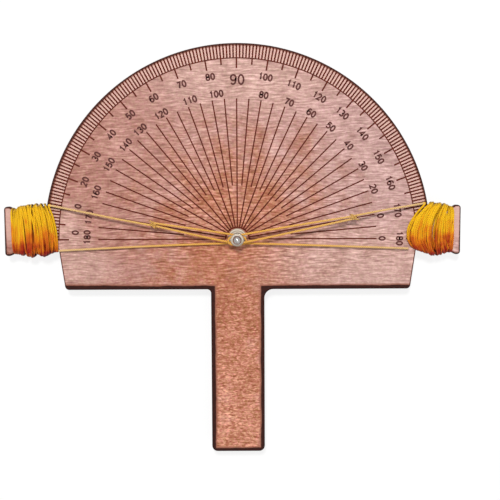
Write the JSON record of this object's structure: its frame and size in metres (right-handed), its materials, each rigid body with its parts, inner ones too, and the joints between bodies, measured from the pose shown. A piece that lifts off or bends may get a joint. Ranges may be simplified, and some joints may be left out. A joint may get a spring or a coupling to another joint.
{
  "type": "adjustable protractor",
  "caption": "Semicircular wooden protractor with a straight handle, cord wound on an ear at each side, and cords noosed round a centre pin that swing over the scale.",
  "frame": {"origin": "centre of the pin's hole on the dial face", "axes": "+X to the right along the base line, +Y to the 90 degree mark, +Z out of the dial face"},
  "size_m": [0.28, 0.252, 0.0247],
  "materials": {
    "plywood": "stained and sanded, edges burnt dark",
    "plated_steel": "zinc plated",
    "bright_nut": "polished plating",
    "wound_cord": "twisted yellow and orange cord in layers",
    "cord": "twisted cord"
  },
  "bodies": {
    "base": {"board": "plywood", "pivot_screw": "plated_steel", "rear_washer": "plated_steel", "base_washer": "plated_steel", "nut_washer": "plated_steel", "dome_nut": "bright_nut", "left_winding": "wound_cord", "right_winding": "wound_cord", "lower_cord": "cord"},
    "left_arm": {"left_cord": "cord", "left_knot": "cord"},
    "right_arm": {"right_cord": "cord", "right_knot": "cord"}
  },
  "joints": [
    {"name": "left_swing", "type": "hinge", "parent": "base", "child": "left_arm", "pos_m": [0, 0, 0.00485], "axis": [0, 0, 1], "range_deg": [-77, 0]},
    {"name": "right_swing", "type": "hinge", "parent": "base", "child": "right_arm", "pos_m": [0, 0, 0.00635], "axis": [0, 0, 1], "range_deg": [0, 76.8]}
  ]
}
